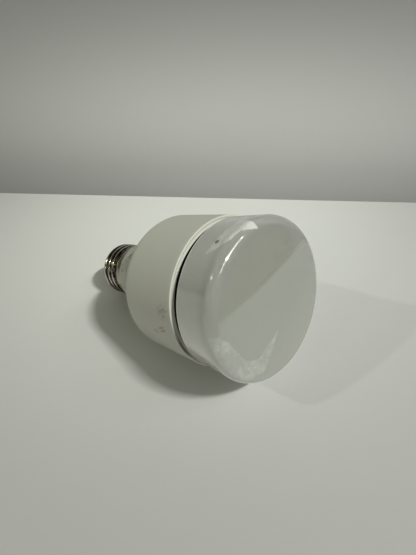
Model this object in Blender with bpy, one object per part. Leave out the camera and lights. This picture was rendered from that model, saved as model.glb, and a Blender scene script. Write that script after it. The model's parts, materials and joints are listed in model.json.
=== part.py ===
"""A drum-shaped smart LED bulb with an E27 screw cap, lying on its side.

The bulb is modelled along its own axis: station 0 is the flat end of the centre contact, and stations
grow towards the light-giving face. An empty carries that axis into the pose in which the bulb rests on
a table: on one crest of the cap's thread and on the shoulder of the housing, with its face raised.
In the world the face looks along -Y and up, and +Z is up.

Sizes are millimetres. The mesh helpers turn them into Blender's metres.
"""

import math

import bmesh
import bpy
from mathutils import Matrix, Vector

MM = 0.001
FIT_GAP = 0.3  # clearance left between pieces that touch
SEGMENTS = 48  # facets round the outer shells
SMALL_SEGMENTS = 20  # facets round small turned pieces

# Screw cap, E27
THREAD_PITCH = 3.629
THREAD_CREST_RADIUS = 13.1
THREAD_ROOT_RADIUS = 12.15
THREAD_START = 7.0
THREAD_END = 20.2
THREAD_RUN_OUT = 1.6
ROWS_PER_PITCH = 6
CAP_RIM_STATION = 4.8
SKIRT_START = 20.8
SKIRT_RADIUS = 13.3
CAP_END = 26.0
CAP_BORE_RADIUS = 11.7
CREST_ON_FLOOR = 10.0  # station of the crest that touches the table

# Neck and housing
TAIL_RADIUS = 11.4
TAIL_BORE_RADIUS = 9.6
TAIL_START = 10.0
COLLAR_END = 36.1
NECK_RADIUS = 17.2
SHOULDER_RADIUS = 29.4
SHOULDER_STATION = 57.7
LEDGE_FRONT = 86.3  # station of the flat ledge that faces the diffuser
LEDGE_SEAT = 84.2  # floor of the counterbore that holds the trim ring
HOUSING_FRONT_RADIUS = 30.2
LEDGE_INNER_RADIUS = 29.2
CUP_LEDGE = 58.0

# Trim ring, seal and diffuser
RING_LIP_REAR = 85.75
SEAL_RADIUS = 27.8
SEAL_GAP = 0.1  # the gasket is clamped, so it nearly touches both its neighbours
DIFFUSER_REAR = 89.35
DIFFUSER_REAR_RADIUS = 29.75
DIFFUSER_FRONT_RADIUS = 30.65
DIFFUSER_CORNER_RADIUS = 3.8
DIFFUSER_CORNER_STATION = 103.6
DIFFUSER_WALL = 1.6
CROWN_SLOPE = math.radians(4.5)  # how steep the domed face is where it meets the rounded corner

# Light engine
CUP_FRONT = 83.9
CUP_WALL = 1.2
BOARD_RADIUS = 24.0
BOARD_REAR = 84.8
BOARD_THICKNESS = 1.0
BOARD_FRONT = BOARD_REAR + BOARD_THICKNESS
WHITE_LED_COUNT = 12
WHITE_LED_RING = 16.0
COLOUR_LED_COUNT = 6
COLOUR_LED_RING = 10.0
SCREW_COUNT = 3
SCREW_RING = 21.0
SCREW_HOLE_RADIUS = 1.45

# Driver
DRIVER_BOARD_THICKNESS = 1.2
DRIVER_BOARD_END = 76.0
COMPONENT_FLOOR = -DRIVER_BOARD_THICKNESS / 2 - FIT_GAP  # where parts sit on the board's lower side
HEADER_PINS = 4
HEADER_PITCH = 2.0
HEADER_PIN_SIDE = 0.64
HEADER_Y = COMPONENT_FLOOR - 1.25
WIRELESS_Y = 5.0


# --------------------------------------------------------------------------- helpers


def clear_scene():
    for existing in list(bpy.data.objects):
        bpy.data.objects.remove(existing, do_unlink=True)


def make_material(name, colour, roughness, metallic=0.0):
    material = bpy.data.materials.new(name)
    material.use_nodes = True
    shader = material.node_tree.nodes["Principled BSDF"]
    shader.inputs["Base Color"].default_value = (*colour, 1.0)
    shader.inputs["Roughness"].default_value = roughness
    shader.inputs["Metallic"].default_value = metallic
    material.diffuse_color = (*colour, 1.0)
    return material


def finish(name, bm, material, sharp_degrees=35.0):
    """The bmesh as a closed, outward-facing object on the bulb's axis."""
    bmesh.ops.recalc_face_normals(bm, faces=bm.faces)
    mesh = bpy.data.meshes.new(name)
    bm.to_mesh(mesh)
    bm.free()
    mesh.transform(Matrix.Scale(MM, 4))
    mesh.shade_smooth()
    mesh.set_sharp_from_angle(angle=math.radians(sharp_degrees))
    obj = bpy.data.objects.new(name, mesh)
    bpy.context.scene.collection.objects.link(obj)
    obj.parent = bulb_axis
    if material:
        mesh.materials.append(material)
    return obj


def spun(outline, segments):
    """A closed outline of (radius, station) points spun round the axis.

    The first point column lies half a facet off -Y, so that a flat facet is at the bottom.
    """
    bm = bmesh.new()
    start = -math.pi / 2 + math.pi / segments
    across = Vector((math.cos(start), math.sin(start), 0.0))
    corners = [bm.verts.new(across * radius + Vector((0.0, 0.0, station))) for radius, station in outline]
    edges = []
    for index, corner in enumerate(corners):
        following = corners[(index + 1) % len(corners)]
        on_axis = outline[index][0] == 0.0 and outline[(index + 1) % len(corners)][0] == 0.0
        if not on_axis:
            edges.append(bm.edges.new((corner, following)))
    bmesh.ops.spin(
        bm,
        geom=corners + edges,
        cent=(0.0, 0.0, 0.0),
        axis=(0.0, 0.0, 1.0),
        angle=2 * math.pi,
        steps=segments,
    )
    bmesh.ops.remove_doubles(bm, verts=bm.verts, dist=1e-3)
    return bm


def turned(name, material, outline, segments=SEGMENTS):
    return finish(name, spun(outline, segments), material)


def box(size, centre=(0.0, 0.0, 0.0), bevel=0.0):
    bm = bmesh.new()
    placing = Matrix.Translation(centre) @ Matrix.Diagonal((*size, 1.0))
    bmesh.ops.create_cube(bm, size=1.0, matrix=placing)
    if bevel:
        bmesh.ops.bevel(bm, geom=bm.edges[:], offset=bevel, segments=1, affect="EDGES")
    return bm


def block(name, material, size, centre, bevel=0.0):
    return finish(name, box(size, centre, bevel), material)


def cut(obj, cutter):
    """Cuts the cutter out of the object and hides the cutter."""
    cutter.hide_render = True
    cutter.display_type = "WIRE"
    modifier = obj.modifiers.new("cut_" + cutter.name, "BOOLEAN")
    modifier.operation = "DIFFERENCE"
    modifier.solver = "EXACT"
    modifier.object = cutter


def arc(centre, radius, first_degrees, last_degrees, steps):
    """Points (radius, station) round a centre. 0 degrees is outwards, 90 is towards the face."""
    points = []
    for step in range(steps + 1):
        angle = math.radians(first_degrees + (last_degrees - first_degrees) * step / steps)
        points.append((centre[0] + radius * math.cos(angle), centre[1] + radius * math.sin(angle)))
    return points


def cubic(first, first_handle, last_handle, last, steps):
    """Points along a cubic Bezier curve, both ends included."""
    points = []
    for step in range(steps + 1):
        t = step / steps
        weights = ((1 - t) ** 3, 3 * t * (1 - t) ** 2, 3 * t * t * (1 - t), t**3)
        corners = (first, first_handle, last_handle, last)
        points.append(tuple(sum(w * c[axis] for w, c in zip(weights, corners)) for axis in (0, 1)))
    return points


def ring_places(count, radius, first_degrees=0.0):
    """(angle, x, y) of places spread evenly round the axis."""
    for index in range(count):
        angle = math.radians(first_degrees) + 2 * math.pi * index / count
        yield angle, radius * math.cos(angle), radius * math.sin(angle)


def wire(name, material, points, radius):
    """A round wire through the points, with flat closed ends."""
    curve = bpy.data.curves.new(name, "CURVE")
    curve.dimensions = "3D"
    curve.bevel_depth = radius * MM
    curve.bevel_resolution = 2
    curve.use_fill_caps = True
    curve.resolution_u = 4
    spline = curve.splines.new("BEZIER")
    spline.bezier_points.add(len(points) - 1)
    for bezier_point, place in zip(spline.bezier_points, points):
        bezier_point.co = Vector(place) * MM
        bezier_point.handle_left_type = "AUTO"
        bezier_point.handle_right_type = "AUTO"
    curve.materials.append(material)
    obj = bpy.data.objects.new(name, curve)
    bpy.context.scene.collection.objects.link(obj)
    obj.parent = bulb_axis
    return obj


# --------------------------------------------------------------------------- screw cap


def thread_radius(angle, station):
    """Radius of the rolled right-hand thread, which fades out at both of its ends."""
    floor_phase = (station - CREST_ON_FLOOR) / THREAD_PITCH - (angle + math.pi / 2) / (2 * math.pi)
    crest = 0.5 + 0.5 * math.cos(2 * math.pi * floor_phase)
    from_start = (station - THREAD_START) / THREAD_RUN_OUT
    from_end = (THREAD_END - station) / THREAD_RUN_OUT
    fade = max(0.0, min(1.0, from_start, from_end))
    return THREAD_ROOT_RADIUS + (THREAD_CREST_RADIUS - THREAD_ROOT_RADIUS) * crest * fade


def make_screw_cap():
    row_gap = THREAD_PITCH / ROWS_PER_PITCH
    row_count = round((THREAD_END - THREAD_START) / row_gap)
    thread_rows = [(THREAD_ROOT_RADIUS, THREAD_START + row_gap * row) for row in range(row_count + 1)]
    outline = [(9.6, CAP_RIM_STATION), (10.4, CAP_RIM_STATION), (11.2, 5.3), (11.7, 6.1)]
    outline += thread_rows
    outline += [(SKIRT_RADIUS - 0.1, SKIRT_START), (SKIRT_RADIUS, SKIRT_START + 0.4)]
    outline += [(SKIRT_RADIUS, CAP_END - 0.3), (SKIRT_RADIUS - 0.2, CAP_END)]
    outline += [(CAP_BORE_RADIUS, CAP_END), (CAP_BORE_RADIUS, 7.0), (11.2, 6.1), (10.6, 5.4), (9.6, 5.4)]
    bm = spun(outline, SEGMENTS)
    for vert in bm.verts:
        radius = math.hypot(vert.co.x, vert.co.y)
        in_thread = THREAD_START < vert.co.z < THREAD_END and radius > CAP_BORE_RADIUS + 0.1
        if in_thread:
            grown = thread_radius(math.atan2(vert.co.y, vert.co.x), vert.co.z) / radius
            vert.co.x *= grown
            vert.co.y *= grown
    return finish("screw_cap", bm, nickel, sharp_degrees=60.0)


def make_cap_insulator():
    outline = [(1.6, 1.2), (5.4, 1.2), (9.2, 4.6), (9.2, 5.7), (10.3, 5.7), (11.3, 7.1)]
    outline += [(11.3, 8.0), (1.6, 8.0)]
    return turned("cap_insulator", black_glass, outline)


def make_centre_contact():
    outline = [(0.0, 0.0), (4.3, 0.0), (4.8, 0.5), (4.8, 0.9), (1.3, 0.9), (1.3, 7.4), (0.0, 7.4)]
    return turned("centre_contact", tin, outline, SMALL_SEGMENTS)


def make_lead_wires():
    wire("live_wire", red_wire, [(0.0, 0.0, 7.9), (0.3, -0.9, 9.2), (0.0, -1.5, 11.6)], 0.5)
    neutral_route = [(4.6, -1.4, 12.6), (5.2, -1.6, 10.6), (7.6, -1.8, 9.2), (11.1, -1.8, 9.0)]
    wire("neutral_wire", black_wire, neutral_route, 0.4)


# --------------------------------------------------------------------------- shells


def make_neck_collar():
    outline = [(12.65, CAP_END + FIT_GAP), (14.5, CAP_END + FIT_GAP), (14.95, 26.8), (15.3, 28.6)]
    outline += [(16.9, 35.3), (16.9, COLLAR_END), (14.6, COLLAR_END)]
    return turned("neck_collar", collar_plastic, outline)


def bowl_outline():
    """The housing's outside, from the neck over the bowl to the shoulder."""
    neck = (NECK_RADIUS, COLLAR_END + FIT_GAP + 0.2)
    shoulder_handle = (SHOULDER_RADIUS - 0.08, SHOULDER_STATION - 2.4)
    return cubic(neck, (23.5, 47.4), shoulder_handle, (SHOULDER_RADIUS, SHOULDER_STATION), 10)


def make_housing():
    neck_front = COLLAR_END + FIT_GAP
    bowl_inside = cubic((25.8, 56.5), (25.6, 54.0), (21.5, 48.0), (15.3, 38.4), 6)
    tail_step = CAP_END + FIT_GAP
    outline = [(TAIL_BORE_RADIUS, TAIL_START), (TAIL_RADIUS, TAIL_START), (TAIL_RADIUS, tail_step)]
    outline += [(12.25, tail_step), (14.2, neck_front), (NECK_RADIUS - 0.3, neck_front)]
    outline += bowl_outline()
    outline += [(HOUSING_FRONT_RADIUS, LEDGE_FRONT - 0.25), (HOUSING_FRONT_RADIUS - 0.25, LEDGE_FRONT)]
    outline += [(LEDGE_INNER_RADIUS, LEDGE_FRONT), (LEDGE_INNER_RADIUS, LEDGE_SEAT), (28.4, LEDGE_SEAT)]
    outline += [(27.7, CUP_LEDGE), (25.8, CUP_LEDGE)]
    outline += bowl_inside
    outline += [(12.4, 36.8), (10.5, 26.8), (TAIL_BORE_RADIUS, 25.6)]
    return turned("housing", white_plastic, outline)


def make_trim_ring():
    """A flat ring let into the ledge. Its inner lip holds the diffuser's barb, and its tongue centres it."""
    radius = LEDGE_INNER_RADIUS - FIT_GAP
    seat = LEDGE_SEAT + FIT_GAP
    outline = [(28.1, seat), (radius, seat), (radius, LEDGE_FRONT - 0.15), (radius - 0.15, LEDGE_FRONT)]
    outline += [(26.6, LEDGE_FRONT), (26.6, RING_LIP_REAR), (27.3, RING_LIP_REAR), (27.3, 82.0)]
    outline += [(28.1, 82.0)]
    return turned("trim_ring", gloss_white, outline)


def make_seal_ring():
    """A tall black gasket: it spaces the diffuser off the ledge and leaves an open groove round it."""
    rear = LEDGE_FRONT + SEAL_GAP
    front = DIFFUSER_REAR - SEAL_GAP
    outline = [(26.65, rear), (SEAL_RADIUS, rear), (SEAL_RADIUS, front), (26.65, front)]
    return turned("seal_ring", black_rubber, outline)


def diffuser_face(corner_radius, crown_radius, crown_centre):
    """Outline from the side wall round the corner and over the domed face to the axis."""
    corner_centre = (DIFFUSER_FRONT_RADIUS - DIFFUSER_CORNER_RADIUS, DIFFUSER_CORNER_STATION)
    corner = arc(corner_centre, corner_radius, 0.0, 90.0 - math.degrees(CROWN_SLOPE), 8)
    crown = []
    for step in range(1, 4):
        slope = CROWN_SLOPE * (1 - step / 3)
        crown.append((crown_radius * math.sin(slope), crown_centre + crown_radius * math.cos(slope)))
    return corner + crown[:-1] + [(0.0, crown_centre + crown_radius)]


def make_diffuser():
    corner_x = DIFFUSER_FRONT_RADIUS - DIFFUSER_CORNER_RADIUS
    crown_radius = corner_x / math.sin(CROWN_SLOPE) + DIFFUSER_CORNER_RADIUS
    crown_centre = DIFFUSER_CORNER_STATION - (crown_radius - DIFFUSER_CORNER_RADIUS) * math.cos(CROWN_SLOPE)
    outside = diffuser_face(DIFFUSER_CORNER_RADIUS, crown_radius, crown_centre)
    inside = diffuser_face(
        DIFFUSER_CORNER_RADIUS - DIFFUSER_WALL, crown_radius - DIFFUSER_WALL, crown_centre
    )
    flange_front = DIFFUSER_REAR + DIFFUSER_WALL
    outline = [(26.3, DIFFUSER_REAR), (DIFFUSER_REAR_RADIUS - 0.25, DIFFUSER_REAR)]
    outline += [(DIFFUSER_REAR_RADIUS, DIFFUSER_REAR + 0.25)]
    outline += outside
    outline += inside[::-1]
    outline += [(DIFFUSER_REAR_RADIUS - DIFFUSER_WALL, flange_front), (24.9, flange_front)]
    outline += [(24.9, 84.4), (26.5, 84.4), (27.0, 84.8), (27.0, 85.15), (26.3, RING_LIP_REAR - FIT_GAP)]
    return turned("diffuser", opal, outline)


# --------------------------------------------------------------------------- light engine


def front_openings():
    """Cutters for what passes through the cup's front, the pad and the LED board."""
    depth = 8.0
    middle = 84.0
    header_size = (HEADER_PITCH * HEADER_PINS + 1.2, 2.6, depth)
    header_slot = block("header_slot_cutter", None, header_size, (0.0, HEADER_Y, middle))
    wireless_slot = block("wireless_slot_cutter", None, (16.8, 1.6, depth), (0.0, WIRELESS_Y, middle))
    cutters = [header_slot, wireless_slot]
    for index, (_, x, y) in enumerate(ring_places(SCREW_COUNT, SCREW_RING, 90.0), 1):
        outline = [(0.0, middle - 4.0), (SCREW_HOLE_RADIUS, middle - 4.0)]
        outline += [(SCREW_HOLE_RADIUS, middle + 4.0), (0.0, middle + 4.0)]
        hole = turned(f"screw_hole_cutter_{index}", None, outline, 16)
        hole.location = Vector((x, y, 0.0)) * MM
        cutters.append(hole)
    return cutters


def make_heat_sink_cup(cutters):
    rear = CUP_LEDGE + FIT_GAP
    step = 81.7
    outline = [(0.0, CUP_FRONT), (26.4, CUP_FRONT), (26.9, CUP_FRONT - 0.5), (26.9, step), (28.0, step)]
    outline += [(27.35, rear), (27.35 - CUP_WALL, rear), (28.0 - CUP_WALL, step - CUP_WALL)]
    outline += [(26.9 - CUP_WALL, step - CUP_WALL), (26.9 - CUP_WALL, 82.4), (0.0, 82.4)]
    cup = turned("heat_sink_cup", aluminium, outline[::-1])
    for cutter in cutters:
        cut(cup, cutter)


def make_thermal_pad(cutters):
    rear = CUP_FRONT + FIT_GAP
    front = BOARD_REAR - FIT_GAP
    outline = [(0.0, rear), (23.4, rear), (23.4, front), (0.0, front)]
    pad = turned("thermal_pad", grey_pad, outline)
    for cutter in cutters:
        cut(pad, cutter)


def make_led_board(cutters):
    outline = [(0.0, BOARD_REAR), (BOARD_RADIUS, BOARD_REAR)]
    outline += [(BOARD_RADIUS, BOARD_FRONT), (0.0, BOARD_FRONT)]
    board = turned("led_board", board_white, outline)
    for cutter in cutters:
        cut(board, cutter)


def make_led(name, material, width, depth, height, angle, x, y):
    """A surface-mount package whose top is sunk a little inside a rim."""
    bm = box((width, depth, height), (0.0, 0.0, height / 2))
    top = max(bm.faces, key=lambda face: face.calc_center_median().z)
    bmesh.ops.inset_region(bm, faces=[top], thickness=0.35, depth=-0.12)
    led = finish(name, bm, material)
    led.location = Vector((x, y, BOARD_FRONT + FIT_GAP)) * MM
    led.rotation_euler.z = angle


def make_leds():
    for index, (angle, x, y) in enumerate(ring_places(WHITE_LED_COUNT, WHITE_LED_RING), 1):
        make_led(f"white_led_{index:02d}", phosphor, 2.8, 3.5, 0.7, angle, x, y)
    for index, (angle, x, y) in enumerate(ring_places(COLOUR_LED_COUNT, COLOUR_LED_RING), 1):
        make_led(f"colour_led_{index}", led_white, 3.2, 3.2, 0.9, angle, x, y)


def make_board_screws():
    """Pan-head screws with a cross recess."""
    seat = BOARD_FRONT + FIT_GAP
    outline = [(0.0, 79.9), (0.7, 79.9), (1.1, 80.6), (1.1, seat), (2.2, seat), (2.2, seat + 0.6)]
    outline += [(1.7, seat + 1.3), (0.8, seat + 1.6), (0.0, seat + 1.6)]
    for index, (_, x, y) in enumerate(ring_places(SCREW_COUNT, SCREW_RING, 90.0), 1):
        screw = turned(f"led_board_screw_{index}", steel, outline, 16)
        screw.location = Vector((x, y, 0.0)) * MM
        for direction, size in (("x", (2.4, 0.5, 1.4)), ("y", (0.5, 2.4, 1.4))):
            recess = block(f"recess_cutter_{index}_{direction}", None, size, (x, y, seat + 1.5))
            cut(screw, recess)


# --------------------------------------------------------------------------- driver


def header_pin_x():
    for index in range(HEADER_PINS):
        yield (index - (HEADER_PINS - 1) / 2) * HEADER_PITCH


def make_driver_board():
    """A board with a narrow tongue that reaches into the screw cap."""
    outline = [(-6.5, 11.5), (6.5, 11.5), (6.5, 37.0), (13.0, 41.0), (13.0, DRIVER_BOARD_END)]
    outline += [(-13.0, DRIVER_BOARD_END), (-13.0, 41.0), (-6.5, 37.0)]
    bm = bmesh.new()
    lower = -DRIVER_BOARD_THICKNESS / 2
    face = bm.faces.new([bm.verts.new((x, lower, station)) for x, station in outline])
    raised = bmesh.ops.extrude_face_region(bm, geom=[face])
    moved = [item for item in raised["geom"] if isinstance(item, bmesh.types.BMVert)]
    bmesh.ops.translate(bm, verts=moved, vec=(0.0, DRIVER_BOARD_THICKNESS, 0.0))
    return finish("driver_board", bm, board_green)


def make_header():
    """A four-way pin header on the driver board, and its socket on the LED board."""
    base = block("pin_header", black_plastic, (9.2, 2.5, 2.5), (0.0, HEADER_Y, 71.0), bevel=0.2)
    socket_size = (11.6, 5.0, 2.8)
    socket_middle = BOARD_FRONT + FIT_GAP + socket_size[2] / 2
    socket = block("header_socket", led_white, socket_size, (0.0, HEADER_Y, socket_middle), bevel=0.3)
    hole_side = HEADER_PIN_SIDE + 2 * FIT_GAP
    for index, x in enumerate(header_pin_x(), 1):
        hole = block(f"pin_hole_cutter_{index}", None, (hole_side, hole_side, 24.0), (x, HEADER_Y, 79.0))
        cut(base, hole)
        cut(socket, hole)
        pin_size = (HEADER_PIN_SIDE, HEADER_PIN_SIDE, 19.0)
        block(f"header_pin_{index}", gold, pin_size, (x, HEADER_Y, 78.2), bevel=0.12)


def make_capacitor(name, radius, rear, front, x):
    """An electrolytic capacitor lying along the axis, with its crimped groove near the rear end."""
    crimp = rear + 1.6
    outline = [(0.0, rear), (radius - 0.4, rear), (radius, rear + 0.4), (radius, crimp - 0.5)]
    outline += [(radius - 0.35, crimp), (radius, crimp + 0.5), (radius, front - 0.4)]
    outline += [(radius - 0.4, front), (0.0, front)]
    capacitor = turned(name, capacitor_sleeve, outline, SMALL_SEGMENTS)
    capacitor.location = Vector((x, COMPONENT_FLOOR - radius, 0.0)) * MM


def make_inductor(x, station):
    """A drum choke standing on the board: a ferrite spool and its copper winding."""
    height = 7.4
    core = [(0.0, 0.0), (4.0, 0.0), (4.0, 0.9), (1.8, 0.9), (1.8, height - 0.9), (4.0, height - 0.9)]
    core += [(4.0, height), (0.0, height)]
    winding = [(2.1, 1.2), (3.7, 1.2), (3.7, height - 1.2), (2.1, height - 1.2)]
    for name, material, outline in (
        ("inductor_core", ferrite, core),
        ("inductor_winding", copper, winding),
    ):
        piece = turned(name, material, outline, SMALL_SEGMENTS)
        piece.location = Vector((x, COMPONENT_FLOOR, station)) * MM
        piece.rotation_euler.x = math.pi / 2


def make_transformer(x, station):
    """A pair of E cores round a bobbin winding. The winding wraps the middle leg."""
    middle_y = COMPONENT_FLOOR - 5.1
    centre = (x, middle_y, station)
    core = block("transformer_core", ferrite, (13.0, 6.0, 12.5), centre, bevel=0.3)
    winding = block("transformer_winding", copper_tape, (9.0, 10.0, 7.8), centre, bevel=0.8)
    for side in (-1, 1):
        window = block(
            f"core_window_cutter_{'left' if side < 0 else 'right'}",
            None,
            (3.3, 8.0, 8.5),
            (x + side * 3.25, middle_y, station),
        )
        cut(core, window)
    cut(winding, block("winding_bore_cutter", None, (3.9, 6.7, 10.0), centre))


def make_small_components():
    resistor = [(0.0, 14.0), (0.35, 14.0), (0.35, 15.4), (1.2, 15.4), (1.6, 15.9), (1.6, 17.2)]
    resistor += [(1.4, 17.8), (1.4, 20.0), (1.6, 20.6), (1.6, 21.9), (1.2, 22.4), (0.35, 22.4)]
    resistor += [(0.35, 23.8), (0.0, 23.8)]
    body = turned("fusible_resistor", resistor_green, resistor, 16)
    body.location = Vector((0.0, COMPONENT_FLOOR - 1.6, 0.0)) * MM
    chip_y = COMPONENT_FLOOR - 0.8
    block("bridge_rectifier", black_plastic, (4.7, 1.6, 5.0), (0.0, chip_y, 30.0), bevel=0.2)
    block("driver_chip", black_plastic, (4.9, 1.6, 3.9), (8.4, chip_y, 68.5), bevel=0.2)


def make_wireless_module():
    """A small radio board that stands through the LED board, so that its antenna clears the metal."""
    block("wireless_board", board_blue, (16.0, 0.8, 30.0), (0.0, WIRELESS_Y, 78.0))
    strip_size = (10.0, WIRELESS_Y - 0.4 - DRIVER_BOARD_THICKNESS / 2 - 2 * FIT_GAP, 2.5)
    strip_y = (WIRELESS_Y - 0.4 + DRIVER_BOARD_THICKNESS / 2) / 2
    block("wireless_header", black_plastic, strip_size, (0.0, strip_y, 65.3), bevel=0.2)
    make_shield_can()


def make_shield_can():
    """A five-sided can of thin sheet, open towards the radio board."""
    width, height, length, sheet = 12.0, 2.2, 12.0, 0.3
    rear_y = WIRELESS_Y + 0.4 + FIT_GAP
    bm = box((width, height, length), (0.0, rear_y + height / 2, 72.5))
    open_side = min(bm.faces, key=lambda face: face.calc_center_median().y)
    bm.faces.remove(open_side)
    can = finish("shield_can", bm, tin)
    solidify = can.modifiers.new("sheet", "SOLIDIFY")
    solidify.thickness = sheet * MM
    solidify.offset = -1.0


# --------------------------------------------------------------------------- resting pose


def rest_on_table():
    """Tilts the axis onto its two lowest points, then centres the bulb over the world's origin."""
    facet = math.cos(math.pi / SEGMENTS)
    tilt = max(
        math.atan2((radius - THREAD_CREST_RADIUS) * facet, station - CREST_ON_FLOOR)
        for radius, station in bowl_outline()
    )
    bulb_axis.rotation_euler = (math.pi / 2 - tilt, 0.0, 0.0)
    bpy.context.view_layer.update()
    shells = [obj for obj in bulb_axis.children if obj.type == "MESH" and not obj.hide_render]
    places = [obj.matrix_world @ corner.co for obj in shells for corner in obj.data.vertices]
    middle_y = (min(place.y for place in places) + max(place.y for place in places)) / 2
    bulb_axis.location = (0.0, -middle_y, -min(place.z for place in places))


clear_scene()
bulb_axis = bpy.data.objects.new("bulb_axis", None)
bpy.context.scene.collection.objects.link(bulb_axis)

nickel = make_material("nickel", (0.62, 0.58, 0.52), 0.22, 1.0)
tin = make_material("tin", (0.70, 0.70, 0.69), 0.35, 1.0)
black_glass = make_material("black_glass", (0.02, 0.02, 0.025), 0.15)
red_wire = make_material("red_wire", (0.55, 0.03, 0.02), 0.5)
black_wire = make_material("black_wire", (0.03, 0.03, 0.03), 0.5)
collar_plastic = make_material("collar_plastic", (0.62, 0.62, 0.58), 0.55)
white_plastic = make_material("white_plastic", (0.72, 0.72, 0.67), 0.5)
gloss_white = make_material("gloss_white", (0.85, 0.85, 0.80), 0.18)
black_rubber = make_material("black_rubber", (0.015, 0.015, 0.015), 0.6)
opal = make_material("opal", (0.74, 0.74, 0.71), 0.12)
aluminium = make_material("aluminium", (0.75, 0.75, 0.76), 0.35, 1.0)
grey_pad = make_material("grey_pad", (0.35, 0.36, 0.38), 0.7)
board_white = make_material("board_white", (0.85, 0.85, 0.83), 0.35)
phosphor = make_material("phosphor", (0.90, 0.72, 0.12), 0.4)
led_white = make_material("led_white", (0.82, 0.82, 0.80), 0.35)
steel = make_material("steel", (0.60, 0.60, 0.61), 0.3, 1.0)
board_green = make_material("board_green", (0.04, 0.22, 0.09), 0.4)
board_blue = make_material("board_blue", (0.03, 0.08, 0.25), 0.4)
black_plastic = make_material("black_plastic", (0.025, 0.025, 0.025), 0.45)
gold = make_material("gold", (0.85, 0.62, 0.25), 0.25, 1.0)
capacitor_sleeve = make_material("capacitor_sleeve", (0.05, 0.06, 0.12), 0.35)
ferrite = make_material("ferrite", (0.06, 0.06, 0.06), 0.55)
copper = make_material("copper", (0.72, 0.34, 0.18), 0.3, 1.0)
copper_tape = make_material("copper_tape", (0.80, 0.65, 0.10), 0.4)
resistor_green = make_material("resistor_green", (0.20, 0.38, 0.30), 0.5)

make_screw_cap()
make_cap_insulator()
make_centre_contact()
make_lead_wires()
make_neck_collar()
make_housing()
make_trim_ring()
make_seal_ring()
make_diffuser()

opening_cutters = front_openings()
make_heat_sink_cup(opening_cutters)
make_thermal_pad(opening_cutters)
make_led_board(opening_cutters)
make_leds()
make_board_screws()

make_driver_board()
make_header()
make_capacitor("input_capacitor", 4.0, 41.0, 53.0, -6.0)
make_capacitor("output_capacitor", 5.0, 54.8, 69.2, -7.4)
make_inductor(5.6, 45.6)
make_transformer(5.6, 58.6)
make_small_components()
make_wireless_module()

rest_on_table()
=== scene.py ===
"""Looks, light and camera for the drum-shaped smart LED bulb.

The CAD nodes that show are replaced by finer meshes of the same profiles, and every node gets a
procedural finish. The bulb's own frame is used throughout: station 0 is the flat end of the centre
contact, stations grow towards the face, and local -Y is the underside. Sizes are in millimetres
until MM turns them into metres.
"""

import json
import math

import bpy
import numpy as np
from mathutils import Matrix, Vector


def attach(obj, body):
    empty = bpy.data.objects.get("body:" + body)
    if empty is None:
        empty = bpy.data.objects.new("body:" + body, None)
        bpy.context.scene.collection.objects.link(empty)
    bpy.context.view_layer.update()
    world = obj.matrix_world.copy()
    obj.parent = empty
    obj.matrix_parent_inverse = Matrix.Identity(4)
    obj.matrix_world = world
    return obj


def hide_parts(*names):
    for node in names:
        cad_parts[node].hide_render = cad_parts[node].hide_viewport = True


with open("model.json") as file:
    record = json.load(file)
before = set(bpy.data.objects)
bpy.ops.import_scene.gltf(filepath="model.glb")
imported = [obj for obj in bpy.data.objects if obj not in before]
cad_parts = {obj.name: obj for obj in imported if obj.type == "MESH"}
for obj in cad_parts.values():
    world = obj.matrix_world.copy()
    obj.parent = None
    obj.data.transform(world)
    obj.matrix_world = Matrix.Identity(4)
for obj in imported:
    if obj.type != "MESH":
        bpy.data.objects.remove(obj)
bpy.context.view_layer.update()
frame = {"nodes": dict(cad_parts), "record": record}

MM = 0.001
SEGMENTS = 256

# The bulb's axis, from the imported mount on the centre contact.
contact_mount = next(m for m in frame["record"]["mounts"] if m["name"] == "centre_contact_face")
contact_place = Vector(contact_mount["pos_m"])
axis = -Vector(contact_mount["axis"]).normalized()
tilt = math.asin(axis.z)
bulb_matrix = Matrix.Translation(contact_place) @ Matrix.Rotation(math.pi / 2 - tilt, 4, "X")

# Screw cap
THREAD_PITCH = 3.629
THREAD_CREST_RADIUS = 13.1
THREAD_ROOT_RADIUS = 12.15
THREAD_START = 7.0
THREAD_END = 20.2
THREAD_RUN_OUT = 1.6
CREST_ON_FLOOR = 10.0
CAP_END = 26.0

# Shells
NECK_FRONT = 36.4
LEDGE_FRONT = 86.3
LEDGE_SEAT = 84.2
LEDGE_INNER = 29.2
SEAL_RADIUS = 27.8
DIFFUSER_REAR = 89.35
DIFFUSER_REAR_RADIUS = 29.75
DIFFUSER_FRONT_RADIUS = 30.65
CORNER_RADIUS = 3.8
CORNER_STATION = 103.6
WALL = 1.6
CROWN_SLOPE = math.radians(4.5)
RING_GAP = 0.06  # between trim ring and ledge


def at(angle, radius, station):
    """A place in the bulb's frame. The angle is in degrees from local +X, 270 is the underside."""
    angle = math.radians(angle)
    return (radius * math.cos(angle), radius * math.sin(angle), station)


# Screw cap finish
NICKEL_COLOURS = ((0.66, 0.60, 0.52), (0.76, 0.71, 0.63))
# painted dark reflection: the smooth skirt is painted darker and browner than the threads
SKIRT_DARK_REFLECTION = (0.40, 0.36, 0.29)
# darker and browner towards the underside, in patches
CAP_LOWER_DARK_COLOUR = (0.21, 0.18, 0.12)
# painted shade: the cap's underside, facing the table, is painted almost black
CAP_UNDERSIDE_SHADE = (0.075, 0.062, 0.038)
# grime and painted shade: the thread valleys are painted nearly black, for dirt and for the dark of
# the deep valleys
GRIME_AND_SHADE_COLOUR = (0.022, 0.018, 0.013)
GRIME_AND_SHADE_RADII = (13.02, 12.75)  # none outside the first, full inside the second

# Housing and ring finish
HOUSING_COLOURS = ((0.505, 0.505, 0.464), (0.545, 0.545, 0.503))
LEDGE_COLOUR = (0.65, 0.645, 0.575)
# painted shade: the ledge is painted darker from mid-height down, where the diffuser shades it
LEDGE_PAINTED_SHADE = (0.31, 0.29, 0.225)
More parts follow.
